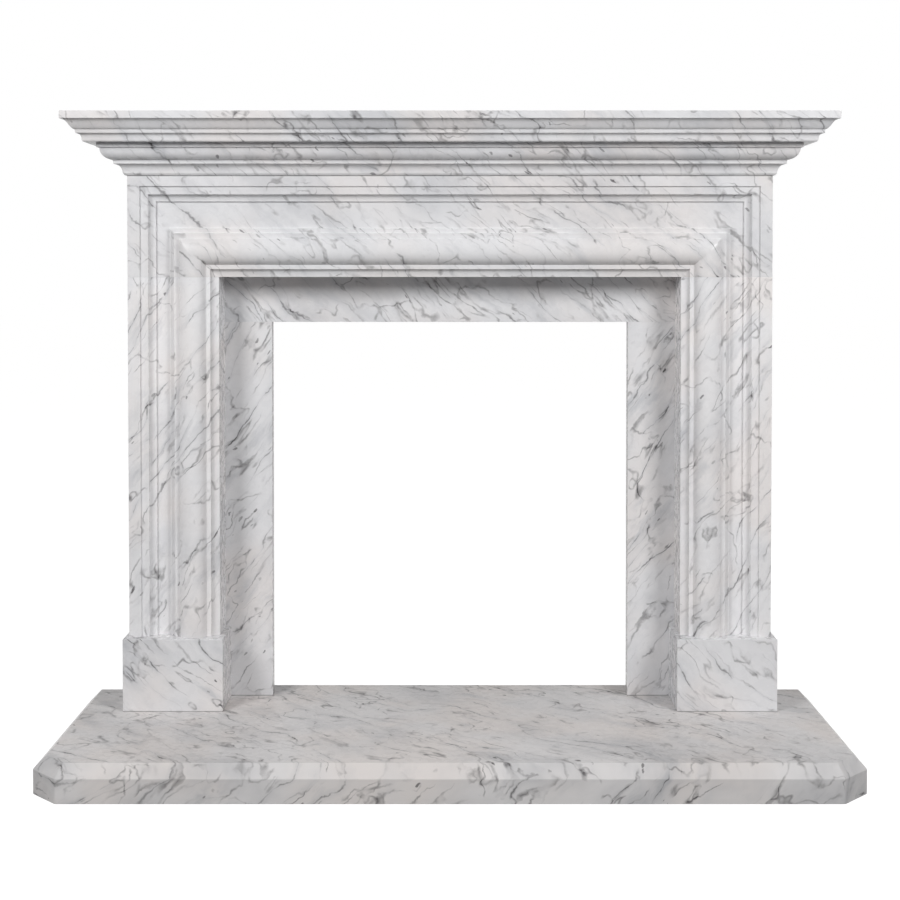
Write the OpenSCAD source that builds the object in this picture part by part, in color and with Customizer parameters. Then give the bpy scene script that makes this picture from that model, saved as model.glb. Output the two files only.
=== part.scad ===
// Moulded marble fireplace mantel with slips, foot blocks and a raised hearth.
// Millimetres. +X runs along the shelf, +Y into the wall, +Z up.
// The origin is at the bottom centre of the whole mantel's box.
// Depths (d) are counted from the face of the foot blocks towards the wall, and projections (p)
// from the outer band of the jambs and header away from the wall.

/* [Opening] */
// Clear width between the jambs
opening_w = 927; // [800:1:1200]
// Clear height from the hearth to the header
opening_h = 867; // [800:1:1000]

/* [Surround] */
// Width of each jamb's face
jamb_w = 180; // [165:0.5:230]
// Height of the header
header_h = 203; // [165:1:260]
// Depth from the face of the foot blocks to the wall
surround_d = 161; // [160:1:240]
// Height of the foot blocks
plinth_h = 145; // [100:1:200]
// How far a foot block is wider than its jamb at the outside
plinth_outer_step = 9.5; // [5:0.5:20]
// How far a foot block is wider than its jamb at the opening
plinth_inner_step = 10.5; // [5:0.5:20]

/* [Face mouldings] */
// Width of the outer band
band_w = 24.5; // [16:0.5:30]
// How much narrower that band is along the top of the header
header_trim = 2.5; // [0:0.5:8]
// Width of the second band
inner_band_w = 16; // [10:0.5:22]
// Width of the cove between the second band and the frieze
outer_cove_w = 13.5; // [8:0.5:20]
// Width of the fillet next to the frieze
low_fillet_w = 9.5; // [6:0.5:14]
// Width of the fillet next to the bolection
high_fillet_w = 11.5; // [6:0.5:16]
// Width of the large rounded bolection
bolection_w = 52; // [40:0.5:56]
// Width of its steeper part, from the crest to the opening
bolection_rise_w = 24.5; // [16:0.5:30]
// Width of the fillet inside the bolection
inner_fillet_w = 9; // [5:0.5:12]
// Width of the cove at the opening
inner_cove_w = 16; // [10:0.5:20]

/* [Shelf and bed mould] */
// Height of the bed mould
bed_h = 61; // [54:1:80]
// Height of the shelf
shelf_h = 56; // [44:1:80]
// Greatest projection of the shelf
shelf_p = 107.3; // [104:0.1:140]

/* [Slips] */
// Width of the fire opening between the side slips
fire_w = 733; // [500:1:900]
// Height of the fire opening
fire_h = 775; // [500:1:850]
// Thickness of the slips
slip_t = 25; // [15:1:30]
// Depth of the slips' faces
slip_d = 114.5; // [90:0.5:125]

/* [Hearth] */
// Width of the hearth
hearth_w = 1509; // [1300:1:1800]
// How far the hearth reaches in front of the foot blocks
hearth_front = 331; // [250:1:450]
// Thickness of the hearth
hearth_t = 67; // [40:1:90]
// Height and depth of the chamfer along its upper edge
hearth_chamfer = 22; // [8:1:30]
// Size of the slanted cut at its front corners
hearth_cant = 53; // [20:1:120]
// How far the tongue reaches past the wall into the fire opening
tongue_d = 33; // [10:1:60]
// How far the tongue reaches behind each side slip
tongue_side = 12; // [5:1:25]

/* [Hidden] */

// Number of straight steps in a quarter turn of a moulding
arc_steps = 12;
// Extra length with which a cutting shape passes a face
over = 10;
// Width of the rebate behind the jambs and header that the slips stand in, and the joint left there
rebate_w = 30;
slip_joint = 1.5;

// Depths of the flat parts of the face moulding
band_d = 20;
inner_band_d = 24;
outer_cove_top_d = 27;
outer_cove_d = 36.5;
frieze_d = 41;
low_fillet_d = 33.5;
high_fillet_d = 25;
bolection_edge_d = 19;
bolection_crest_d = 8.5;
inner_fillet_d = 25.5;
inner_cove_top_d = 27;

// Depth from the inner cove's start to its ellipse's end, and how far past the arris that ellipse is centred
inner_cove_rise = 10.5;
inner_cove_offset = 4;

half_opening = opening_w / 2;
half_outside = half_opening + jamb_w;
half_rebate = half_opening + rebate_w;
header_top = opening_h + header_h;
outer_moulding_w = band_w + inner_band_w + outer_cove_w;
inner_moulding_w = inner_cove_w + inner_fillet_w + bolection_w + high_fillet_w + low_fillet_w;

// Places of the depth and height datums in the mantel's own frame
wall_y = (hearth_front + surround_d - tongue_d) / 2;
face_y = wall_y - surround_d;
floor_z = hearth_t;

stone = [0.86, 0.86, 0.87];
shaded_stone = [0.78, 0.78, 0.80];
hearth_stone = [0.74, 0.73, 0.72];

// A quarter of an ellipse about centre [u, v] with half-axes a and b, from one angle to another.
function quarter(centre, a, b, from, to) =
    [for (i = [0 : arc_steps])
        let (angle = from + (to - from) * i / arc_steps)
        centre + [a * cos(angle), b * sin(angle)]];

// A list of points in the opposite order.
function backwards(points) = [for (i = [len(points) - 1 : -1 : 0]) points[i]];

// A circular arc that leaves one point level and bends away to another, without the first point itself.
function bend(from, to) =
    let (run = to[0] - from[0], drop = to[1] - from[1], radius = (run * run + drop * drop) / (2 * drop))
    [for (i = [1 : arc_steps])
        let (angle = asin(run / radius) * i / arc_steps)
        from + [radius * sin(angle), radius * (1 - cos(angle))]];

// Half a cosine wave from one point to another, level at both ends.
function swell(from, to) =
    [for (i = [0 : arc_steps])
        let (share = i / arc_steps)
        [from[0] + (to[0] - from[0]) * share, from[1] + (to[1] - from[1]) * (1 - cos(180 * share)) / 2]];

// Outer part of the face moulding: [distance in from the outer edge, depth].
outer_profile = concat(
    [[0, band_d], [band_w, band_d], [band_w, inner_band_d], [band_w + inner_band_w, inner_band_d]],
    quarter([outer_moulding_w, outer_cove_top_d], outer_cove_w, outer_cove_d - outer_cove_top_d, 180, 90),
    [[outer_moulding_w, frieze_d]]);

// Inner part of the face moulding: [distance out from the opening, depth].
inner_cove_reach = inner_cove_w + inner_cove_offset;
bolection_start = inner_cove_w + inner_fillet_w;
bolection_crest = bolection_start + bolection_rise_w;
bolection_end = bolection_start + bolection_w;
inner_rise = concat(
    quarter([-inner_cove_offset, inner_cove_top_d], inner_cove_reach, inner_cove_rise,
            acos(inner_cove_offset / inner_cove_reach), 0),
    [[inner_cove_w, inner_fillet_d]],
    backwards(bend([bolection_crest, bolection_crest_d], [bolection_start, inner_fillet_d])),
    [[bolection_crest, bolection_crest_d]]);
inner_fall = concat(
    bend([bolection_crest, bolection_crest_d], [bolection_end, bolection_edge_d]),
    [[bolection_end, high_fillet_d], [bolection_end + high_fillet_w, high_fillet_d],
     [bolection_end + high_fillet_w, low_fillet_d], [inner_moulding_w, low_fillet_d],
     [inner_moulding_w, frieze_d]]);

// Bed mould: [projection, height above its underside], from the bottom up.
bed_profile = concat(
    [[4, 0]],
    quarter([21, 4], 14, 17.5, 180, 90),
    [[22.5, 21.5], [23, 29]],
    quarter([24, 50.5], 20.5, 21, 270, 360),
    [[44.5, 51.5], [49.5, 52], [49.5, bed_h]]);

// Shelf: [projection, height above its underside], from the bottom up.
shelf_profile = concat(
    [[70.7, 0]],
    quarter([78.7, 3], 6.5, 12, 180, 90),
    [[82.2, 15.5]],
    swell([83.2, 22.5], [103.2, 41]),
    [[shelf_p, 41.5], [shelf_p, shelf_h]]);

// The outline of one jamb seen from above, with x from the centre line and y as depth.
// The back inner edge is cut away where the slip stands.
module jamb_outline() {
    polygon(concat(
        [for (point = outer_profile) [half_outside - point[0], point[1]]],
        [for (point = backwards(concat(inner_rise, inner_fall))) [half_opening + point[0], point[1]]],
        [[half_opening, slip_d], [half_rebate, slip_d],
         [half_rebate, surround_d], [half_outside, surround_d]]));
}

module jamb_block() {
    translate([0, face_y, floor_z + plinth_h])
        linear_extrude(opening_h - plinth_h) jamb_outline();
}

module plinth_block() {
    inner = half_opening - plinth_inner_step;
    outer = half_outside + plinth_outer_step;
    translate([0, face_y, floor_z])
        linear_extrude(plinth_h)
            polygon([[inner, 0], [outer, 0], [outer, surround_d], [half_rebate, surround_d],
                     [half_rebate, slip_d], [inner, slip_d]]);
}

// Everything behind a face that follows a list of [distance, depth] points along one direction.
module behind(points) {
    last = points[len(points) - 1];
    first = points[0];
    polygon(concat(points, [[last[0], surround_d], [first[0], surround_d]]));
}

// An outline of [x, depth] becomes a bar standing up the header, and one of [height, depth] a bar lying
// across it. Heights are counted from the top of the opening.
module standing_bar() {
    linear_extrude(header_h) children();
}
module lying_bar() {
    multmatrix([[0, 0, 1, -half_outside], [0, 1, 0, 0], [1, 0, 0, 0], [0, 0, 0, 1]])
        linear_extrude(2 * half_outside) children();
}
module both_sides() {
    children();
    mirror([1, 0, 0]) children();
}

// The outer moulding: the part of the header behind either of two bars, which meet in a mitre at each
// outer corner because the depth only grows inwards.
module header_outer() {
    side = [for (point = outer_profile) [half_outside - point[0], point[1]]];
    top = [for (point = outer_profile) [min(header_h, header_h + header_trim - point[0]), point[1]]];
    union() {
        lying_bar() behind(concat(top, [[0, frieze_d]]));
        both_sides() standing_bar() behind(concat(side, [[0, frieze_d]]));
    }
}

// The rise from the opening to the bolection's crest: behind either bar.
module header_rise() {
    side = [for (point = inner_rise) [half_opening + point[0], point[1]]];
    union() {
        lying_bar() behind(concat(inner_rise, [[header_h, bolection_crest_d]]));
        both_sides() standing_bar() behind(concat(side, [[half_outside, bolection_crest_d]]));
    }
}

// The fall from the crest to the frieze: behind both bars.
module header_fall() {
    far = concat([inner_rise[len(inner_rise) - 1]], inner_fall, [[max(header_h, jamb_w) + over, frieze_d]]);
    right = [for (point = far) [half_opening + point[0], point[1]]];
    left = [for (point = backwards(right)) [-point[0], point[1]]];
    intersection() {
        lying_bar() behind(concat([[0, bolection_crest_d]], far));
        standing_bar() behind(concat(left, right));
    }
}

module header() {
    color(stone)
        translate([0, face_y, floor_z + opening_h])
            difference() {
                union() {
                    header_outer();
                    intersection() {
                        header_rise();
                        header_fall();
                    }
                }
                translate([-half_rebate, slip_d, -over])
                    cube([2 * half_rebate, surround_d - slip_d + over, rebate_w + over]);
            }
}

// A course that projects by the same profile at the front and at both ends.
module returned_course(profile) {
    top = profile[len(profile) - 1][1];
    front_y = face_y + band_d;
    intersection() {
        multmatrix([[0, 0, 1, -half_outside - shelf_p - over], [1, 0, 0, 0], [0, 1, 0, 0], [0, 0, 0, 1]])
            linear_extrude(2 * (half_outside + shelf_p + over))
                polygon(concat([for (point = profile) [front_y - point[0], point[1]]],
                               [[wall_y, top], [wall_y, profile[0][1]]]));
        multmatrix([[1, 0, 0, 0], [0, 0, 1, front_y - shelf_p - over], [0, 1, 0, 0], [0, 0, 0, 1]])
            linear_extrude(wall_y - front_y + shelf_p + 2 * over)
                polygon(concat([for (point = profile) [half_outside + point[0], point[1]]],
                               [for (point = backwards(profile)) [-half_outside - point[0], point[1]]]));
    }
}

module bed_mould() {
    color(stone) translate([0, 0, floor_z + header_top]) returned_course(bed_profile);
}

module shelf() {
    color(stone) translate([0, 0, floor_z + header_top + bed_h]) returned_course(shelf_profile);
}

module slip_head() {
    width = 2 * (half_rebate - slip_joint);
    color(shaded_stone)
        translate([-width / 2, face_y + slip_d, floor_z + fire_h])
            cube([width, slip_t, opening_h + rebate_w - slip_joint - fire_h]);
}

module side_slip() {
    color(shaded_stone)
        translate([fire_w / 2, face_y + slip_d, floor_z])
            cube([half_rebate - slip_joint - fire_w / 2, slip_t, fire_h]);
}

// A slab that ends at distance edge from the origin, with a chamfer of size cut along its upper edge, and
// reaches past the hearth everywhere else.
module chamfered_slab(edge, cut) {
    reach = hearth_w + hearth_front;
    multmatrix([[0, 0, 1, -reach], [1, 0, 0, 0], [0, 1, 0, 0], [0, 0, 0, 1]])
        linear_extrude(2 * reach)
            polygon([[edge, 0], [edge, hearth_t - cut], [edge - cut, hearth_t],
                     [-reach, hearth_t], [-reach, 0]]);
}

// The slab between the wall and its front edge, two ends and two slanted corners. The chamfer on the slanted
// corners is a little deeper, so that three faces and never four meet at a point.
module hearth() {
    half = hearth_w / 2;
    front = face_y - hearth_front;
    slant_edge = (half - front - hearth_cant) / sqrt(2);
    slant_chamfer = hearth_chamfer + 0.5;
    color(hearth_stone)
        union() {
            intersection() {
                translate([-half, front, 0]) cube([hearth_w, wall_y - front, hearth_t]);
                rotate([0, 0, 180]) chamfered_slab(-front, hearth_chamfer);
                rotate([0, 0, 90]) chamfered_slab(half, hearth_chamfer);
                rotate([0, 0, -90]) chamfered_slab(half, hearth_chamfer);
                rotate([0, 0, 135]) chamfered_slab(slant_edge, slant_chamfer);
                rotate([0, 0, -135]) chamfered_slab(slant_edge, slant_chamfer);
            }
            translate([-fire_w / 2 - tongue_side, wall_y - over, 0])
                cube([fire_w + 2 * tongue_side, tongue_d + over, hearth_t]);
        }
}

module plinth_left() { color(stone) mirror([1, 0, 0]) plinth_block(); }
module plinth_right() { color(stone) plinth_block(); }
module jamb_left() { color(stone) mirror([1, 0, 0]) jamb_block(); }
module jamb_right() { color(stone) jamb_block(); }
module slip_left() { mirror([1, 0, 0]) side_slip(); }
module slip_right() { side_slip(); }

hearth();
plinth_left();
plinth_right();
jamb_left();
jamb_right();
header();
bed_mould();
shelf();
slip_left();
slip_right();
slip_head();
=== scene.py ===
"""Marble fireplace mantel: a moulded surround with a shelf, slips, foot blocks and a raised hearth.

Every piece of marble is a closed surface that numpy works out from a profile or an outline, and stands where
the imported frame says. One veined marble is a node group; each piece turns and places it in its own way.
"""

import math

import bmesh
import bpy
import numpy as np
from bpy.props import FloatProperty, FloatVectorProperty, PointerProperty
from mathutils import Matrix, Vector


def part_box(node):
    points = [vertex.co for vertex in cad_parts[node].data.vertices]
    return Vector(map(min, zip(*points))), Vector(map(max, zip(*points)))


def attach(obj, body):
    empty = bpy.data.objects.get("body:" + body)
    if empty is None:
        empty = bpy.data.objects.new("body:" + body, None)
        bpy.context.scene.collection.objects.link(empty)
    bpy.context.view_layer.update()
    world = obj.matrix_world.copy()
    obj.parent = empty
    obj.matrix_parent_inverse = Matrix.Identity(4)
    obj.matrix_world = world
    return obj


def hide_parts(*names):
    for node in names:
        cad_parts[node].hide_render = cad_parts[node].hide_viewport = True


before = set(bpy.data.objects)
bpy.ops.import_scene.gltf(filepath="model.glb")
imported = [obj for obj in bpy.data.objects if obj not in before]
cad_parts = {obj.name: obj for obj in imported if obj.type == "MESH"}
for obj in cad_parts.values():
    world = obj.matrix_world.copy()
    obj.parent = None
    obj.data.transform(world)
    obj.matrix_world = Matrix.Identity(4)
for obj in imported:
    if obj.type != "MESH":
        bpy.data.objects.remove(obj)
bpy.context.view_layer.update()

bl_info = {
    "name": "Marble Fireplace Mantel",
    "version": (1, 0, 0),
    "blender": (4, 5, 0),
    "location": "View3D > Sidebar > Mantel",
    "description": "Builds a moulded marble fireplace surround, its shelf, slips and hearth",
    "category": "Add Mesh",
}

BODY = "root"

# Open joint between the side slips and the rebates that hold them.
SLIP_GAP = 0.0015
# Nothing is divided by less than TINY, points closer than WELD are one, and faces that meet at more than
# SHARP degrees keep a crease.
TINY = 1e-12
WELD = 1e-6
SHARP = 40
# Sockets of a Mix node that mixes colours.
MIX_FACTOR, MIX_A, MIX_B, MIX_RESULT = 0, 6, 7, 2

# Datums of the frame: the slab's top, the foot blocks' face, the wall, the jambs' two edges, the header's
# two, how far the slips lie back and where the rebates that hold them end.
HEARTH_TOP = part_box("hearth")[1].z
FACE_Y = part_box("plinth_right")[0].y
WALL_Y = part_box("header")[1].y
HALF_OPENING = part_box("jamb_right")[0].x
HALF_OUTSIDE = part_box("jamb_right")[1].x
OPENING_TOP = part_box("header")[0].z
HEADER_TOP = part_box("header")[1].z
SLIP_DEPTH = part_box("slip_left")[0].y - FACE_Y
HALF_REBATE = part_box("slip_head")[1].x + SLIP_GAP


def size(label, description, metres):
    """A length in metres that shows in the sidebar."""
    return FloatProperty(name=label, description=description, default=metres, min=0.0, soft_max=2 * metres,
                         precision=4, unit="LENGTH")


def share(label, description, value, most=1.0):
    """A plain number that shows in the sidebar."""
    return FloatProperty(name=label, description=description, default=value, min=0.0, max=most)


def tone(label, description, rgb):
    """A colour that shows in the sidebar."""
    return FloatVectorProperty(name=label, description=description, default=rgb, size=3, min=0.0, max=1.0,
                               subtype="COLOR")


class MouldingSizes(bpy.types.PropertyGroup):
    """Widths and depths of the face moulding on the jambs and the header."""

    band: size("Outer band", "Width of the outer band", 0.0245)
    trim: size("Header trim", "How much narrower that band is along the top of the header", 0.0025)
    second_band: size("Second band", "Width of the second band", 0.016)
    outer_cove: size("Outer cove", "Width of the cove next to the frieze", 0.0135)
    low_fillet: size("Low fillet", "Width of the fillet next to the frieze", 0.0095)
    high_fillet: size("High fillet", "Width of the fillet next to the bolection", 0.0115)
    bolection: size("Bolection", "Width of the large rounded moulding", 0.052)
    bolection_rise: size("Bolection rise", "Width of its steeper part, from the crest to the opening", 0.0245)
    inner_fillet: size("Inner fillet", "Width of the fillet inside the bolection", 0.009)
    inner_cove: size("Inner cove", "Width of the cove at the opening", 0.016)
    inner_cove_offset: size("Inner cove offset", "How far past the arris its ellipse is centred", 0.004)
    band_depth: size("Outer band depth", "Depth behind the foot blocks' face", 0.020)
    second_band_depth: size("Second band depth", "Depth behind the foot blocks' face", 0.024)
    cove_start_depth: size("Outer cove start", "Depth where the outer cove begins", 0.027)
    cove_depth: size("Outer cove depth", "Depth of the outer cove's flat end", 0.0365)
    frieze_depth: size("Frieze depth", "Depth of the flat frieze", 0.041)
    low_fillet_depth: size("Low fillet depth", "Depth of the low fillet", 0.0335)
    high_fillet_depth: size("High fillet depth", "Depth of the high fillet", 0.025)
    bolection_depth: size("Bolection edge depth", "Depth of the bolection's outer edge", 0.019)
    crest_depth: size("Bolection crest depth", "Depth of the bolection's crest", 0.0085)
    inner_fillet_depth: size("Inner fillet depth", "Depth of the fillet inside the bolection", 0.0255)
    inner_cove_depth: size("Inner cove start", "Depth where the inner cove begins", 0.027)
    inner_cove_rise: size("Inner cove rise", "How much deeper its ellipse ends", 0.0105)


class HearthSizes(bpy.types.PropertyGroup):
    """Shape of the hearth slab's upper edge and front corners."""

    chamfer: size("Chamfer", "Size of the chamfer along the upper edge", 0.022)
    slant: size("Slanted corner", "How much the front corners are cut off", 0.053)
    tongue: size("Tongue", "How far the tongue at the back reaches behind each side slip", 0.012)
    corner: size("Corner softening", "Softening of the upright arrises", 0.003)


class FinishSettings(bpy.types.PropertyGroup):
    """Arrises, colours and polish of the marble, and a darker grey that is painted on sideways faces and as a
    thin contact shadow.
    """

    arris: size("Arris", "How far each worked arris is eased", 0.0012)
    joint: size("Joint", "How far the edges at a joint are eased", 0.0006)
    # The joint line and its fade set the height of a thin contact shadow that is painted where pieces stand
    # on the hearth.
    joint_shadow_height: size("Joint line", "Height of the thin grey line at the hearth's joints", 0.0012)
    joint_shadow_fade: size("Joint fade", "How far above it that line fades out", 0.001)
    ground: tone("Ground", "The marble's pale ground", (0.77, 0.77, 0.785))
    warm: tone("Warm ground", "The ground where it is tinged with iron", (0.78, 0.755, 0.75))
    cloud: tone("Cloud", "The soft grey clouds", (0.50, 0.51, 0.535))
    vein: tone("Vein", "The dark veins", (0.085, 0.08, 0.085))
    # This darker grey is painted on the slips' faces that look sideways, and as the thin painted contact
    # shadow where pieces stand on the hearth.
    side_and_shadow_grey: tone("Sawn edge", "The slips' unpolished edges and the joints on the hearth", (0.28, 0.27, 0.27))
    clouds: share("Clouds", "Strength of the grey clouds and haze", 0.54)
    veins: share("Bed veins", "Strength of the veins between the beds", 0.75)
    wisps: share("Wisps", "Strength of the short wisps along the beds", 0.66)
    threads: share("Threads", "Strength of the thin veins across the beds", 0.54)
    strokes: share("Strokes", "Strength of the small dark strokes", 0.70)
    # Strength of the painted contact shadow at the hearth's joints.
    joints: share("Joints", "Strength of the thin grey line at the hearth's joints", 0.70)


class StudioSettings(bpy.types.PropertyGroup):
    """Camera place and lamp strengths."""

    distance: size("Camera distance", "From the foot blocks' face to the camera", 2.931)
    height: size("Camera height", "Above the hearth's top", 0.8683)
    lens: share("Lens", "Focal length in millimetres", 59.14, 300.0)
    tilt: share("Tilt", "Downward tilt in degrees", 1.31, 45.0)
    drop: share("Lens drop", "How far the view is shifted down, in picture heights", 0.1551)
    key: share("Side softboxes", "Power of each side softbox in watts", 47.0, 1000.0)
    top: share("Overhead softbox", "Power of the softbox overhead in watts", 3.5, 1000.0)
    back: share("Rear softbox", "Power of the softbox behind in watts", 5.0, 1000.0)
    ambient: share("Ambient light", "Strength of the light from all round", 0.08, 5.0)


# ---------------------------------------------------------------------------------------------------------
# Outlines and closed surfaces


def quarter(centre, a, b, start, end, steps=14):
    """A quarter ellipse: centre + (a cos t, b sin t), while t turns from start to end in degrees."""
    t = np.radians(np.linspace(start, end, steps))
    return np.column_stack([centre[0] + a * np.cos(t), centre[1] + b * np.sin(t)])


def bend(start, end, steps=15):
    """A circular arc that leaves start level and bends away to end. Its radius is
    (run^2 + drop^2) / (2 drop)."""
    run, drop = end[0] - start[0], end[1] - start[1]
    radius = (run * run + drop * drop) / (2 * drop)
    t = np.linspace(0, math.asin(run / radius), steps)
    return np.column_stack([start[0] + radius * np.sin(t), start[1] + radius * (1 - np.cos(t))])


def swell(start, end, steps=17):
    """Half a cosine wave from start to end, level at both."""
    t = np.linspace(0, 1, steps)
    return np.column_stack([start[0] + (end[0] - start[0]) * t,
                            start[1] + (end[1] - start[1]) * (1 - np.cos(np.pi * t)) / 2])


def unit(vectors):
    """Rows of vectors, each divided by its own length."""
    return vectors / np.maximum(np.linalg.norm(vectors, axis=1, keepdims=True), TINY)


def eased(points, amount, closed=True, steps=4):
    """Every corner P becomes the curve (1-t)^2 A + 2t(1-t) P + t^2 B, where A and B lie amount before and
    after it along its two sides, or 45% of a side if that is less. An open line keeps its two ends."""
    before = np.roll(points, 1, axis=0) - points
    after = np.roll(points, -1, axis=0) - points
    if not closed:
        before[0] = after[-1] = 0.0
    reach = np.minimum(np.linalg.norm(before, axis=1), np.linalg.norm(after, axis=1))
    cut = np.minimum(np.broadcast_to(amount, reach.shape), 0.45 * reach)[:, None]
    a = (points + unit(before) * cut)[:, None]
    b = (points + unit(after) * cut)[:, None]
    t = np.linspace(0, 1, steps)[None, :, None]
    curve = (1 - t) ** 2 * a + 2 * t * (1 - t) * points[:, None] + t**2 * b
    curve = curve.reshape(-1, points.shape[1])
    return curve if closed else curve[steps - 1:len(curve) - steps + 1]


def drawn_in(outline, amount):
    """A closed outline moved inwards: each point goes amount against the mean of its two sides' normals."""
    side = np.roll(outline, -1, axis=0) - outline
    area = np.sum(outline[:, 0] * np.roll(outline[:, 1], -1) - outline[:, 1] * np.roll(outline[:, 0], -1))
    out = unit(np.column_stack([side[:, 1], -side[:, 0]]) * np.sign(area))
    return outline - amount * unit(out + np.roll(out, 1, axis=0))


def skin(name, rings):
    """A closed surface through rings, an array of rings x points x 3: quads join each ring to the next, point
    by point, and a flat face closes the first and the last ring."""
    count, points = rings.shape[:2]
    index = np.arange(count * points).reshape(count, points)
    onward = np.roll(index, -1, axis=1)
    quads = np.stack([index[:-1], onward[:-1], onward[1:], index[1:]], axis=-1).reshape(-1, 4)
    mesh = bpy.data.meshes.new(name)
    mesh.from_pydata(rings.reshape(-1, 3).tolist(), [],
                     quads.tolist() + [index[0][::-1].tolist(), index[-1].tolist()])
    shape = bmesh.new()
    shape.from_mesh(mesh)
    bmesh.ops.remove_doubles(shape, verts=shape.verts, dist=WELD)
    bmesh.ops.dissolve_degenerate(shape, edges=shape.edges, dist=WELD)
    bmesh.ops.recalc_face_normals(shape, faces=shape.faces)
    shape.to_mesh(mesh)
    shape.free()
    mesh.polygons.foreach_set("use_smooth", np.ones(len(mesh.polygons), bool))
    mesh.set_sharp_from_angle(angle=math.radians(SHARP))
    piece = bpy.data.objects.new(name, mesh)
    bpy.context.scene.collection.objects.link(piece)
    weigh = piece.modifiers.new("Flat faces stay flat", "WEIGHTED_NORMAL")
    weigh.keep_sharp = True
    return piece


def standing_block(name, outline, levels):
    """A block whose plan is outline, drawn in by levels[:, 1] at the heights levels[:, 0]."""
    rings = [np.column_stack([drawn_in(outline, inset), np.full(len(outline), height)])
             for height, inset in levels]
    return skin(name, np.array(rings))


def upright_levels(low, high, low_ease, high_ease, steps=24):
    """Heights and insets of a block whose two end faces have eased edges of their own."""
    turn = np.radians(np.linspace(0, 90, 4))
    foot = np.column_stack([low + low_ease * (1 - np.cos(turn)), low_ease * (1 - np.sin(turn))])
    head = np.column_stack([high - high_ease * (1 - np.sin(turn)), high_ease * (1 - np.cos(turn))])
    run = np.linspace(low + low_ease, high - high_ease, steps)[1:-1]
    return np.vstack([foot, np.column_stack([run, np.zeros(len(run))]), head])


def marble_piece(piece, node, material):
    """Puts the marble on a piece, gives it the frame's body and hides the frame's part named node."""
    piece.data.materials.append(material)
    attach(piece, BODY)
    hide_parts(node)
    return piece


# ---------------------------------------------------------------------------------------------------------
# Profiles


def face_outline(sizes, finish):
    """Plan of the right jamb as (x, y): the face moulding from the outer edge to the opening, then the
    reveal, the rebate where the slip stands and the back. Every corner is eased."""
    s = sizes
    outer = np.vstack([
        [[0, s.band_depth], [s.band, s.band_depth], [s.band, s.second_band_depth],
         [s.band + s.second_band, s.second_band_depth]],
        quarter((s.band + s.second_band + s.outer_cove, s.cove_start_depth), s.outer_cove,
                s.cove_depth - s.cove_start_depth, 180, 90),
        [[s.band + s.second_band + s.outer_cove, s.frieze_depth]],
    ])
    start = s.inner_cove + s.inner_fillet
    crest, end = start + s.bolection_rise, start + s.bolection
    reach = s.inner_cove + s.inner_cove_offset
    inner = np.vstack([
        quarter((-s.inner_cove_offset, s.inner_cove_depth), reach, s.inner_cove_rise,
                math.degrees(math.acos(s.inner_cove_offset / reach)), 0),
        [[s.inner_cove, s.inner_fillet_depth]],
        bend((crest, s.crest_depth), (start, s.inner_fillet_depth))[::-1],
        bend((crest, s.crest_depth), (end, s.bolection_depth))[1:],
        [[end, s.high_fillet_depth], [end + s.high_fillet, s.high_fillet_depth],
         [end + s.high_fillet, s.low_fillet_depth], [end + s.high_fillet + s.low_fillet, s.low_fillet_depth],
         [end + s.high_fillet + s.low_fillet, s.frieze_depth]],
    ])
    wall = WALL_Y - FACE_Y
    back = [[HALF_OPENING, SLIP_DEPTH], [HALF_REBATE, SLIP_DEPTH], [HALF_REBATE, wall], [HALF_OUTSIDE, wall]]
    outline = np.vstack([
        np.column_stack([HALF_OUTSIDE - outer[:, 0], outer[:, 1]]),
        np.column_stack([HALF_OPENING + inner[::-1, 0], inner[::-1, 1]]),
        back,
    ])
    outline[:, 1] += FACE_Y
    return eased(outline, finish.arris)


def mitre_heights(x, sizes):
    """Height at which a line of the face moulding, x from the centre on the jamb, crosses the header. The
    outer lines keep their distance from the outer edge, less the trim, and the inner ones from the opening,
    so they meet in mitres, and the frieze takes up the difference."""
    outer = HALF_OUTSIDE - sizes.band - sizes.second_band - sizes.outer_cove
    inner = (HALF_OPENING + sizes.inner_cove + sizes.inner_fillet + sizes.bolection + sizes.high_fillet
             + sizes.low_fillet)
    return np.interp(x, [HALF_OPENING, inner, outer, HALF_OUTSIDE - sizes.trim],
                     [OPENING_TOP, OPENING_TOP + inner - HALF_OPENING,
                      HEADER_TOP + sizes.trim + outer - HALF_OUTSIDE, HEADER_TOP])


def bed_profile():
    """Bed mould from the bottom up as (projection, height): a cavetto, a fillet, an ovolo and a fillet."""
    return np.vstack([
        [[0.004, 0.0]],
        quarter((0.021, 0.004), 0.014, 0.0175, 180, 90),
        [[0.0225, 0.0215], [0.023, 0.029]],
        quarter((0.024, 0.0505), 0.0205, 0.021, 270, 360),
        [[0.0445, 0.0515], [0.0495, 0.052], [0.0495, 0.061]],
    ])


def shelf_profile():
    """Shelf from the bottom up as (projection, height): a cavetto, a fillet, a cyma recta and the edge."""
    return np.vstack([
        [[0.0707, 0.0]],
        quarter((0.0787, 0.003), 0.0065, 0.012, 180, 90),
        [[0.0822, 0.0155]],
        swell((0.0832, 0.0225), (0.1032, 0.041)),
        [[0.1073, 0.0415], [0.1073, 0.056]],
    ])


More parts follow.
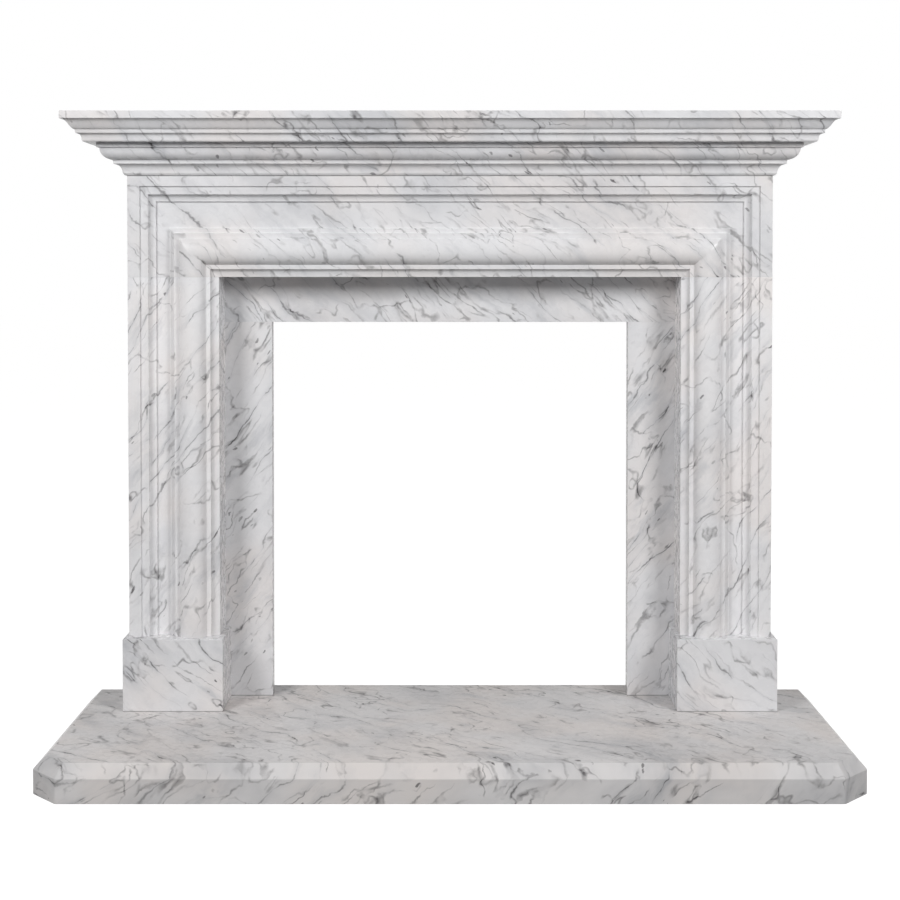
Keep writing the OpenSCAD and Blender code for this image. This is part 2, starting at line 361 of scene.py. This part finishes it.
def returned_course(name, node, profile, ease, corner=0.0008, run=56, leg=10):
    """A course whose profile runs along the front and returns at both ends. A profile point with projection p
    follows x = +-(side + p) and y = front - p. The outline closes along the back, where p reaches from the
    front to the wall, so the same sweep gives the top, the underside and the back."""
    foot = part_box(node)[0].z
    front_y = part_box(node)[0].y + profile[:, 0].max()
    side_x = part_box(node)[1].x - profile[:, 0].max()
    spine = front_y - WALL_Y
    open_line = np.vstack([[[spine, 0.0]], profile, [[spine, profile[-1, 1]]]])
    line = eased(open_line, ease, closed=False)
    side, front = side_x + line[:, 0], front_y - line[:, 0]
    soft = np.where(line[:, 0] > spine + ease, corner, 0.0)
    turn = np.linspace(0, np.pi / 2, 5)
    along = np.linspace(0, 1, leg)[:-1]
    across = np.linspace(-1, 1, run)[1:-1]

    def station(*parts):
        """Side of the centre, how far back, and the corner's outward direction, for each place in a row."""
        return np.column_stack(np.broadcast_arrays(*parts))

    stations = np.vstack([
        station(-1.0, 1 - along, -1.0, 0.0),
        station(-1.0, 0.0, -np.cos(turn), -np.sin(turn)),
        station(across, 0.0, 0.0, -1.0),
        station(1.0, 0.0, np.sin(turn), -np.cos(turn)),
        station(1.0, 1 - along[::-1], 1.0, 0.0),
    ])[:, :, None]
    x = stations[:, 0] * (side - soft) + stations[:, 2] * soft
    y = stations[:, 1] * WALL_Y + (1 - stations[:, 1]) * (front + soft) + stations[:, 3] * soft
    z = np.broadcast_to(foot + line[:, 1], x.shape)
    return skin(name, np.stack([x, y, z], axis=-1))


# ---------------------------------------------------------------------------------------------------------
# Marble


def add_node(tree, kind, values=(), **settings):
    """Adds a node, sets its own settings, then fills each input with a value or links it from a socket."""
    node = tree.nodes.new(kind)
    for name, setting in settings.items():
        setattr(node, name, setting)
    for name, value in dict(values).items():
        if isinstance(value, bpy.types.NodeSocket):
            tree.links.new(value, node.inputs[name])
        else:
            node.inputs[name].default_value = value
    return node


def noise(tree, vector, scale, detail=2.0, rough=0.5, output="Fac"):
    """Fractal noise of a vector, from 0 to 1 about 0.5."""
    return add_node(tree, "ShaderNodeTexNoise", {"Vector": vector, "Scale": scale, "Detail": detail,
                                                 "Roughness": rough}).outputs[output]


def arithmetic(tree, operation, a, b=0.0, clamp=False):
    """One sum of two values or sockets."""
    return add_node(tree, "ShaderNodeMath", {0: a, 1: b}, operation=operation, use_clamp=clamp).outputs[0]


def vector_sum(tree, operation, a, b):
    """One sum of two vectors or vector sockets."""
    return add_node(tree, "ShaderNodeVectorMath", {0: a, 1: b}, operation=operation).outputs[0]


def ramp(tree, value, low, high, out_low=0.0, out_high=1.0):
    """A smooth step: out_low up to low, out_high from high on."""
    return add_node(tree, "ShaderNodeMapRange", {"Value": value, "From Min": low, "From Max": high,
                                                 "To Min": out_low, "To Max": out_high},
                    interpolation_type="SMOOTHSTEP").outputs["Result"]


def blend_colour(tree, factor, a, b):
    """Colour a where factor is 0 and b where it is 1."""
    node = add_node(tree, "ShaderNodeMix", data_type="RGBA", clamp_factor=True)
    for index, value in ((MIX_FACTOR, factor), (MIX_A, a), (MIX_B, b)):
        if isinstance(value, bpy.types.NodeSocket):
            tree.links.new(value, node.inputs[index])
        else:
            node.inputs[index].default_value = value
    return node.outputs[MIX_RESULT]


def marble_group():
    """The marble as a node group. Its vector runs along the beds of the stone in x and y and across them in
    z. Veins and wisps follow the beds, threads wander across them, and dark strokes lie in clusters."""
    tree = bpy.data.node_groups.new("Veined marble", "ShaderNodeTree")
    for name, kind in (("Vector", "Vector"), ("Ground", "Color"), ("Warm", "Color"), ("Cloud", "Color"),
                       ("Vein", "Color"), ("Clouds", "Float"), ("Veins", "Float"), ("Wisps", "Float"),
                       ("Threads", "Float"), ("Strokes", "Float")):
        tree.interface.new_socket(name=name, in_out="INPUT", socket_type=f"NodeSocket{kind}")
    for name, kind in (("Color", "Color"), ("Roughness", "Float"), ("Height", "Float")):
        tree.interface.new_socket(name=name, in_out="OUTPUT", socket_type=f"NodeSocket{kind}")
    given = tree.nodes.new("NodeGroupInput").outputs
    result = tree.nodes.new("NodeGroupOutput").inputs

    def times(a, b, clamp=False):
        return arithmetic(tree, "MULTIPLY", a, b, clamp)

    def bent(vector, scale, amount):
        """Moves a point by up to about amount in every direction, in waves of about 1 / scale."""
        shift = vector_sum(tree, "SUBTRACT", noise(tree, vector, scale, 2.0, 0.5, "Color"), (0.5, 0.5, 0.5))
        return vector_sum(tree, "ADD", vector, vector_sum(tree, "MULTIPLY", shift, (amount, amount, amount)))

    def drawn_out(vector, along):
        """Makes a pattern longer along the beds."""
        return vector_sum(tree, "MULTIPLY", vector, (along, along, 1.0))

    def line(value, half_width, middle=0.5):
        """A level line of the noise: 1 where value passes middle, 0 from half_width off on either side."""
        off = arithmetic(tree, "ABSOLUTE", arithmetic(tree, "SUBTRACT", value, middle))
        return arithmetic(tree, "SUBTRACT", 1.0, arithmetic(tree, "DIVIDE", off, half_width), True)

    gentle = bent(given["Vector"], 3.5, 0.09)
    crooked = bent(bent(gentle, 20.0, 0.018), 90.0, 0.0065)
    cluster = noise(tree, drawn_out(gentle, 0.6), 9.0, 3.0, 0.6)
    speckle = noise(tree, drawn_out(crooked, 0.6), 48.0, 3.0, 0.6)
    darker = ramp(tree, speckle, 0.36, 0.60, 0.20, 1.0)

    # Veins between the beds: the beds are numbered by height, and each has a strength of its own.
    height = add_node(tree, "ShaderNodeSeparateXYZ", {"Vector": crooked}).outputs["Z"]
    wander = noise(tree, drawn_out(gentle, 0.45), 13.0, 2.0, 0.55)
    bed = arithmetic(tree, "ADD", times(height, 30.0), times(wander, 2.6))
    strength = add_node(tree, "ShaderNodeTexWhiteNoise", {"W": arithmetic(tree, "FLOOR", bed)},
                        noise_dimensions="1D").outputs["Value"]
    part = noise(tree, drawn_out(crooked, 0.5), 17.0, 2.0, 0.6)
    seen = times(ramp(tree, part, 0.42, 0.54), ramp(tree, strength, 0.15, 0.75))
    fraction = arithmetic(tree, "FRACT", bed)
    bed_veins = times(times(line(fraction, ramp(tree, speckle, 0.35, 0.70, 0.020, 0.085)), seen), darker)
    halo = times(line(fraction, 0.26), seen)

    # Wisps: level lines of a noise drawn out along the beds, broken into short lengths.
    wisps = times(times(line(noise(tree, drawn_out(crooked, 0.17), 46.0, 1.0, 0.5), 0.038), darker), times(
        ramp(tree, noise(tree, drawn_out(crooked, 0.35), 30.0, 2.0, 0.6), 0.47, 0.57),
        ramp(tree, cluster, 0.36, 0.58, 0.40, 1.0)))

    # Threads: long crooked level lines that wander across the beds.
    threads = times(times(line(noise(tree, drawn_out(crooked, 0.7), 9.0, 3.0, 0.55), 0.013), darker), ramp(
        tree, part, 0.54, 0.46))

    # Dark strokes: small drawn-out spots, thick on the ground inside the clusters.
    spots = add_node(tree, "ShaderNodeTexVoronoi", {"Vector": drawn_out(crooked, 0.34), "Scale": 95.0},
                     feature="F1")
    chance = add_node(tree, "ShaderNodeSeparateColor", {"Color": spots.outputs["Color"]}).outputs["Red"]
    reach = ramp(tree, chance, 0.45, 1.0, 0.0, 0.20)
    strokes = times(ramp(tree, arithmetic(tree, "SUBTRACT", spots.outputs["Distance"], reach), -0.05, 0.03,
                         1.0, 0.0), ramp(tree, cluster, 0.46, 0.62))

    clouds = ramp(tree, noise(tree, drawn_out(gentle, 0.5), 8.0, 4.0, 0.6), 0.44, 0.75)
    haze = ramp(tree, noise(tree, drawn_out(crooked, 0.22), 26.0, 4.0, 0.65), 0.50, 0.72)
    grey = times(arithmetic(tree, "ADD", arithmetic(tree, "ADD", clouds, times(haze, ramp(
        tree, cluster, 0.40, 0.60, 0.25, 1.0))), times(halo, 0.5)), given["Clouds"], True)
    dark = arithmetic(tree, "ADD", times(bed_veins, given["Veins"]), arithmetic(
        tree, "ADD", times(wisps, given["Wisps"]), arithmetic(
            tree, "ADD", times(threads, given["Threads"]), times(strokes, given["Strokes"]))), True)
    warm = ramp(tree, noise(tree, given["Vector"], 5.0, 2.0), 0.40, 0.65)
    stone = blend_colour(tree, grey, blend_colour(tree, warm, given["Ground"], given["Warm"]), given["Cloud"])
    tree.links.new(blend_colour(tree, dark, stone, given["Vein"]), result["Color"])
    tree.links.new(arithmetic(tree, "ADD", times(dark, 0.10), ramp(
        tree, noise(tree, given["Vector"], 60.0, 2.0, 0.6), 0.3, 0.7, 0.24, 0.32)), result["Roughness"])
    tree.links.new(arithmetic(tree, "SUBTRACT", noise(tree, given["Vector"], 9.0, 1.0), times(dark, 0.2)),
                   result["Height"])
    return tree


def marble(name, turn, place, shade=1.0, warmth=0.0, amount=1.0, gloss=0.25, side_and_shadow_grey=0.0, shadowed_joint=None):
    """Polished marble for one piece. turn (degrees) lays the beds of the stone, and place picks the part of
    the block that the piece was cut from. shade and warmth set its tone, amount scales all of its markings
    and gloss is its mirror reflection. The last two arguments paint a darker grey: the first is how far the
    faces that look sideways go towards it, and the second is the height of a joint along which it runs as
    a thin painted contact shadow."""
    finish = bpy.context.scene.mantel_finish
    group = bpy.data.node_groups.get("Veined marble") or marble_group()
    material = bpy.data.materials.new(name)
    material.use_nodes = True
    tree = material.node_tree
    tree.nodes.clear()
    where = add_node(tree, "ShaderNodeTexCoord").outputs["Object"]
    turned = add_node(tree, "ShaderNodeMapping", {"Vector": where, "Location": place,
                                                  "Rotation": [math.radians(a) for a in turn]})
    tint = np.array([1 + warmth, 1.0, 1 - warmth]) * shade
    stone = add_node(tree, "ShaderNodeGroup", node_tree=group)
    for key in ("ground", "warm", "cloud", "vein"):
        stone.inputs[key.title()].default_value = (*(np.array(getattr(finish, key)) * tint), 1.0)
    for key, value in (("Clouds", finish.clouds), ("Veins", finish.veins), ("Wisps", finish.wisps),
                       ("Threads", finish.threads), ("Strokes", finish.strokes)):
        stone.inputs[key].default_value = value * amount
    tree.links.new(turned.outputs["Vector"], stone.inputs["Vector"])
    wave = add_node(tree, "ShaderNodeBump", {"Height": stone.outputs["Height"], "Strength": 0.03,
                                             "Distance": 0.002})
    colour = stone.outputs["Color"]
    # Faces that look sideways are painted darker, towards the finish's darker grey.
    if side_and_shadow_grey:
        facing = add_node(tree, "ShaderNodeSeparateXYZ", {
            "Vector": add_node(tree, "ShaderNodeNewGeometry").outputs["True Normal"]}).outputs["X"]
        sideways = ramp(tree, arithmetic(tree, "ABSOLUTE", facing), 0.5, 0.8, 0.0, side_and_shadow_grey)
        colour = blend_colour(tree, sideways, colour, (*finish.side_and_shadow_grey, 1.0))
    # A thin contact shadow is painted just above the joint and fades out upwards.
    if shadowed_joint is not None:
        height = add_node(tree, "ShaderNodeSeparateXYZ", {"Vector": where}).outputs["Z"]
        low = shadowed_joint + finish.joint_shadow_height
        line = ramp(tree, height, low, low + finish.joint_shadow_fade, finish.joints, 0.0)
        colour = blend_colour(tree, line, colour, (*finish.side_and_shadow_grey, 1.0))
    shader = add_node(tree, "ShaderNodeBsdfPrincipled", {
        "Base Color": colour, "Roughness": stone.outputs["Roughness"],
        "Normal": wave.outputs["Normal"], "IOR": 1.5, "Specular IOR Level": gloss})
    add_node(tree, "ShaderNodeOutputMaterial", {"Surface": shader.outputs["BSDF"]})
    return material


# ---------------------------------------------------------------------------------------------------------
# Operators


class MANTEL_OT_hearth(bpy.types.Operator):
    """Lays the hearth slab"""

    bl_idname = "mantel.hearth"
    bl_label = "Hearth"

    def ring(self, context, inset):
        """The slab's outline, drawn in by inset along its front, ends and slanted corners."""
        sizes = context.scene.mantel_hearth
        low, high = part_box("hearth")
        tongue = -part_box("slip_left")[1].x + sizes.tongue
        x, y = high.x - inset, low.y + inset
        slant = sizes.slant - inset * (2 - math.sqrt(2))
        right = np.array([[x - slant, y], [x, y + slant], [x, WALL_Y], [tongue, WALL_Y], [tongue, high.y]])
        outline = np.vstack([right, right[::-1] * (-1, 1)])
        soft = np.full(len(outline), context.scene.mantel_finish.arris)
        soft[[0, 1, -2, -1]] = sizes.corner
        return eased(outline, soft)

    def execute(self, context):
        sizes, finish = context.scene.mantel_hearth, context.scene.mantel_finish
        section = eased(np.array([
            [finish.arris * 2, 0.0], [0.0, 0.0], [0.0, HEARTH_TOP - sizes.chamfer],
            [sizes.chamfer, HEARTH_TOP], [sizes.chamfer + finish.arris * 2, HEARTH_TOP]]),
            finish.arris, closed=False)
        outlines = [self.ring(context, inset) for inset in section[:, 0]]
        rings = np.array([np.column_stack([outline, np.full(len(outline), height)])
                          for outline, height in zip(outlines, section[:, 1])])
        stone = marble("Hearth marble", (136, -30, 0), (3.1, 0.7, 1.9), shade=0.96, warmth=0.018,
                       amount=1.12, gloss=0.03)
        marble_piece(skin("marble_hearth", rings), "hearth", stone)
        return {"FINISHED"}


class MANTEL_OT_foot_blocks(bpy.types.Operator):
    """Sets the two plain foot blocks"""

    bl_idname = "mantel.foot_blocks"
    bl_label = "Foot blocks"

    def execute(self, context):
        finish = context.scene.mantel_finish
        low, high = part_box("plinth_right")
        slip_y = FACE_Y + SLIP_DEPTH
        plan = np.array([[low.x, low.y], [high.x, low.y], [high.x, high.y], [HALF_REBATE, high.y],
                         [HALF_REBATE, slip_y], [low.x, slip_y]])
        for side, sign, place, amount in (("left", -1, (0.3, 5.2, 2.2), 1.25),
                                          ("right", 1, (7.4, 1.2, 0.6), 1.1)):
            outline = eased(plan * (sign, 1), finish.arris)
            levels = upright_levels(low.z, high.z, finish.arris, finish.arris, 6)
            # A thin painted contact shadow runs along each block's foot, where it stands on the hearth.
            stone = marble(f"Foot block marble {side}", (20, -32, 0), place, shade=1.03, amount=amount,
                           shadowed_joint=low.z)
            marble_piece(standing_block(f"marble_plinth_{side}", outline, levels), f"plinth_{side}",
                         stone)
        return {"FINISHED"}


class MANTEL_OT_jambs(bpy.types.Operator):
    """Stands the two moulded jambs"""

    bl_idname = "mantel.jambs"
    bl_label = "Jambs"

    def execute(self, context):
        finish = context.scene.mantel_finish
        plan = face_outline(context.scene.mantel_moulding, finish)
        low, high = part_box("jamb_right")
        levels = upright_levels(low.z, high.z, finish.joint, finish.joint)
        for side, sign, place in (("left", -1, (1.3, 2.2, 4.2)), ("right", 1, (5.4, 3.2, 8.6))):
            stone = marble(f"Jamb marble {side}", (20, 55, 0), place, shade=1.09, warmth=0.004)
            marble_piece(standing_block(f"marble_jamb_{side}", plan * (sign, 1), levels), f"jamb_{side}",
                         stone)
        return {"FINISHED"}


class MANTEL_OT_header(bpy.types.Operator):
    """Carves the header with its mitred mouldings"""

    bl_idname = "mantel.header"
    bl_label = "Header"

    def execute(self, context):
        """The jamb's plan follows an arch of three straight legs. A station has a side, from -1 to 1, and a
        share of the height between the joint and the line's own mitre."""
        sizes, finish = context.scene.mantel_moulding, context.scene.mantel_finish
        plan = face_outline(sizes, finish)
        foot = drawn_in(plan, finish.joint)
        leg = np.linspace(0, 1, 9)
        head = np.linspace(-1, 1, 60)
        side = np.concatenate([-np.ones_like(leg), head[1:-1], np.ones_like(leg)])[:, None]
        rise = np.concatenate([leg, np.ones_like(head[1:-1]), leg[::-1]])[:, None]
        low = OPENING_TOP + finish.joint
        top = np.maximum(mitre_heights(plan[:, 0], sizes), low)
        arch = np.stack([side * plan[:, 0], np.broadcast_to(plan[:, 1], (len(side), len(plan))),
                         low + rise * (top - low)], axis=-1)
        end = np.column_stack([foot, np.full(len(foot), OPENING_TOP)])
        rings = np.concatenate([[end * (-1, 1, 1)], arch, [end]])
        stone = marble("Header marble", (22, -38, 0), (2.6, 9.1, 5.3), amount=0.95)
        marble_piece(skin("marble_header", rings), "header", stone)
        return {"FINISHED"}


class MANTEL_OT_courses(bpy.types.Operator):
    """Lays the bed mould and the shelf"""

    bl_idname = "mantel.courses"
    bl_label = "Bed mould and shelf"

    def execute(self, context):
        ease = context.scene.mantel_finish.arris
        for node, profile, place in (("bed_mould", bed_profile(), (4.7, 6.3, 1.1)),
                                     ("shelf", shelf_profile(), (8.2, 2.4, 3.7))):
            piece = returned_course(f"marble_{node}", node, profile, ease * 0.7)
            stone = marble(f"{node} marble", (20, -38, 0), place)
            marble_piece(piece, node, stone)
        return {"FINISHED"}


class MANTEL_OT_slips(bpy.types.Operator):
    """Fits the three plain slips round the fire opening"""

    bl_idname = "mantel.slips"
    bl_label = "Slips"

    def execute(self, context):
        joint = context.scene.mantel_finish.joint
        for node, turn, place in (("slip_left", (15, 50, 0), (6.1, 7.7, 0.9)),
                                  ("slip_right", (15, 55, 0), (9.3, 4.4, 7.2)),
                                  ("slip_head", (15, -40, 0), (3.9, 8.8, 6.5))):
            low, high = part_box(node)
            outline = eased(np.array([[low.x, low.y], [high.x, low.y], [high.x, high.y], [low.x, high.y]]),
                            joint * 1.5)
            levels = upright_levels(low.z, high.z, joint, joint, 12)
            # The slips' faces that look sideways are painted darker, and a thin painted contact shadow runs
            # along their foot at the hearth.
            stone = marble(f"{node} marble", turn, place, shade=1.02, amount=1.1, side_and_shadow_grey=0.5, shadowed_joint=HEARTH_TOP)
            marble_piece(standing_block(f"marble_{node}", outline, levels), node, stone)
        return {"FINISHED"}


class MANTEL_OT_studio(bpy.types.Operator):
    """Puts in the floor, the lamps, the surrounding light and the camera"""

    bl_idname = "mantel.studio"
    bl_label = "Studio"

    def execute(self, context):
        scene, studio = context.scene, context.scene.mantel_studio
        self.floor()
        for side in (-1, 1):
            self.softbox((side * 1.80, FACE_Y - 2.12, 1.94), (0.0, FACE_Y, 0.65), 1.0, studio.key)
        self.softbox((0.0, FACE_Y - 1.2, 3.2), (0.0, FACE_Y - 0.15, 0.0), 1.2, studio.top)
        # The polished hearth would mirror the lamp behind as glare.
        rear = self.softbox((0.0, WALL_Y + 2.4, 0.9), (0.0, WALL_Y, 0.7), 1.4, studio.back)
        rear.visible_glossy = False
        self.surroundings(scene, studio.ambient)
        view = bpy.data.cameras.new("Camera")
        view.sensor_width = 36.0
        view.lens = studio.lens
        view.shift_y = -studio.drop
        camera = bpy.data.objects.new("Camera", view)
        camera.location = (0.0, FACE_Y - studio.distance, HEARTH_TOP + studio.height)
        camera.rotation_euler = (math.radians(90 - studio.tilt), 0.0, 0.0)
        scene.collection.objects.link(camera)
        scene.camera = camera
        scene.view_settings.view_transform = "Standard"
        return {"FINISHED"}

    def background_ray(self, tree):
        """1 for rays from the camera, and in reflections and glass, so that all of them see the white."""
        path = add_node(tree, "ShaderNodeLightPath").outputs
        return arithmetic(tree, "ADD", arithmetic(tree, "ADD", path["Is Camera Ray"], path["Is Glossy Ray"]),
                          path["Is Transmission Ray"], True)

    def floor(self):
        """A wide pale floor at the slab's underside. Its white is part glow, part light, so shadows stay."""
        half = 30.0
        mesh = bpy.data.meshes.new("Floor")
        mesh.from_pydata([(-half, -half, 0), (half, -half, 0), (half, half, 0), (-half, half, 0)], [],
                         [(0, 1, 2, 3)])
        floor = bpy.data.objects.new("Floor", mesh)
        bpy.context.scene.collection.objects.link(floor)
        material = bpy.data.materials.new("Pale floor")
        material.use_nodes = True
        tree = material.node_tree
        tree.nodes.clear()
        lit = add_node(tree, "ShaderNodeBsdfDiffuse", {"Color": (0.25, 0.25, 0.25, 1)})
        glow = add_node(tree, "ShaderNodeEmission", {"Color": (1, 1, 1, 1), "Strength": 0.98})
        both = add_node(tree, "ShaderNodeAddShader", {0: lit.outputs[0], 1: glow.outputs[0]})
        mixed = add_node(tree, "ShaderNodeMixShader", {0: self.background_ray(tree), 1: lit.outputs[0],
                                                       2: both.outputs[0]})
        add_node(tree, "ShaderNodeOutputMaterial", {"Surface": mixed.outputs[0]})
        mesh.materials.append(material)

    def softbox(self, place, target, width, power):
        """A square lamp at place that faces target, both in metres, and is out of the camera's sight."""
        light = bpy.data.lights.new("Softbox", "AREA")
        light.shape = "SQUARE"
        light.size = width
        light.energy = power
        lamp = bpy.data.objects.new("Softbox", light)
        lamp.location = place
        aim = np.subtract(target, place)
        lamp.rotation_euler = (math.atan2(math.hypot(aim[0], aim[1]), -aim[2]), 0.0,
                               math.atan2(-aim[0], aim[1]))
        lamp.visible_camera = False
        bpy.context.scene.collection.objects.link(lamp)
        return lamp

    def surroundings(self, scene, strength):
        """Even light from all round, and a white background where it is seen."""
        world = bpy.data.worlds.new("Studio")
        scene.world = world
        world.use_nodes = True
        tree = world.node_tree
        tree.nodes.clear()
        ambient = add_node(tree, "ShaderNodeBackground", {"Color": (1, 0.95, 0.92, 1), "Strength": strength})
        white = add_node(tree, "ShaderNodeBackground", {"Color": (1, 1, 1, 1), "Strength": 1.0})
        mixed = add_node(tree, "ShaderNodeMixShader", {0: self.background_ray(tree), 1: ambient.outputs[0],
                                                       2: white.outputs[0]})
        add_node(tree, "ShaderNodeOutputWorld", {"Surface": mixed.outputs[0]})


class MANTEL_PT_panel(bpy.types.Panel):
    """Lists the pieces and their sizes"""

    bl_label = "Marble Mantel"
    bl_idname = "MANTEL_PT_panel"
    bl_space_type = "VIEW_3D"
    bl_region_type = "UI"
    bl_category = "Mantel"

    def draw(self, context):
        for operator in OPERATORS:
            self.layout.operator(operator.bl_idname)
        for settings in (context.scene.mantel_moulding, context.scene.mantel_hearth,
                         context.scene.mantel_finish, context.scene.mantel_studio):
            box = self.layout.box()
            for name in settings.__annotations__:
                box.prop(settings, name)


OPERATORS = (MANTEL_OT_hearth, MANTEL_OT_foot_blocks, MANTEL_OT_jambs, MANTEL_OT_header, MANTEL_OT_courses,
             MANTEL_OT_slips, MANTEL_OT_studio)
SETTINGS = {"mantel_moulding": MouldingSizes, "mantel_hearth": HearthSizes, "mantel_finish": FinishSettings,
            "mantel_studio": StudioSettings}


def register():
    for kind in (*SETTINGS.values(), *OPERATORS, MANTEL_PT_panel):
        bpy.utils.register_class(kind)
    for name, kind in SETTINGS.items():
        setattr(bpy.types.Scene, name, PointerProperty(type=kind))


def unregister():
    for name in SETTINGS:
        delattr(bpy.types.Scene, name)
    for kind in reversed((*SETTINGS.values(), *OPERATORS, MANTEL_PT_panel)):
        bpy.utils.unregister_class(kind)


def main():
    register()
    bpy.ops.mantel.studio()
    bpy.ops.mantel.hearth()
    bpy.ops.mantel.foot_blocks()
    bpy.ops.mantel.jambs()
    bpy.ops.mantel.header()
    bpy.ops.mantel.courses()
    bpy.ops.mantel.slips()


if __name__ == "__main__":
    main()
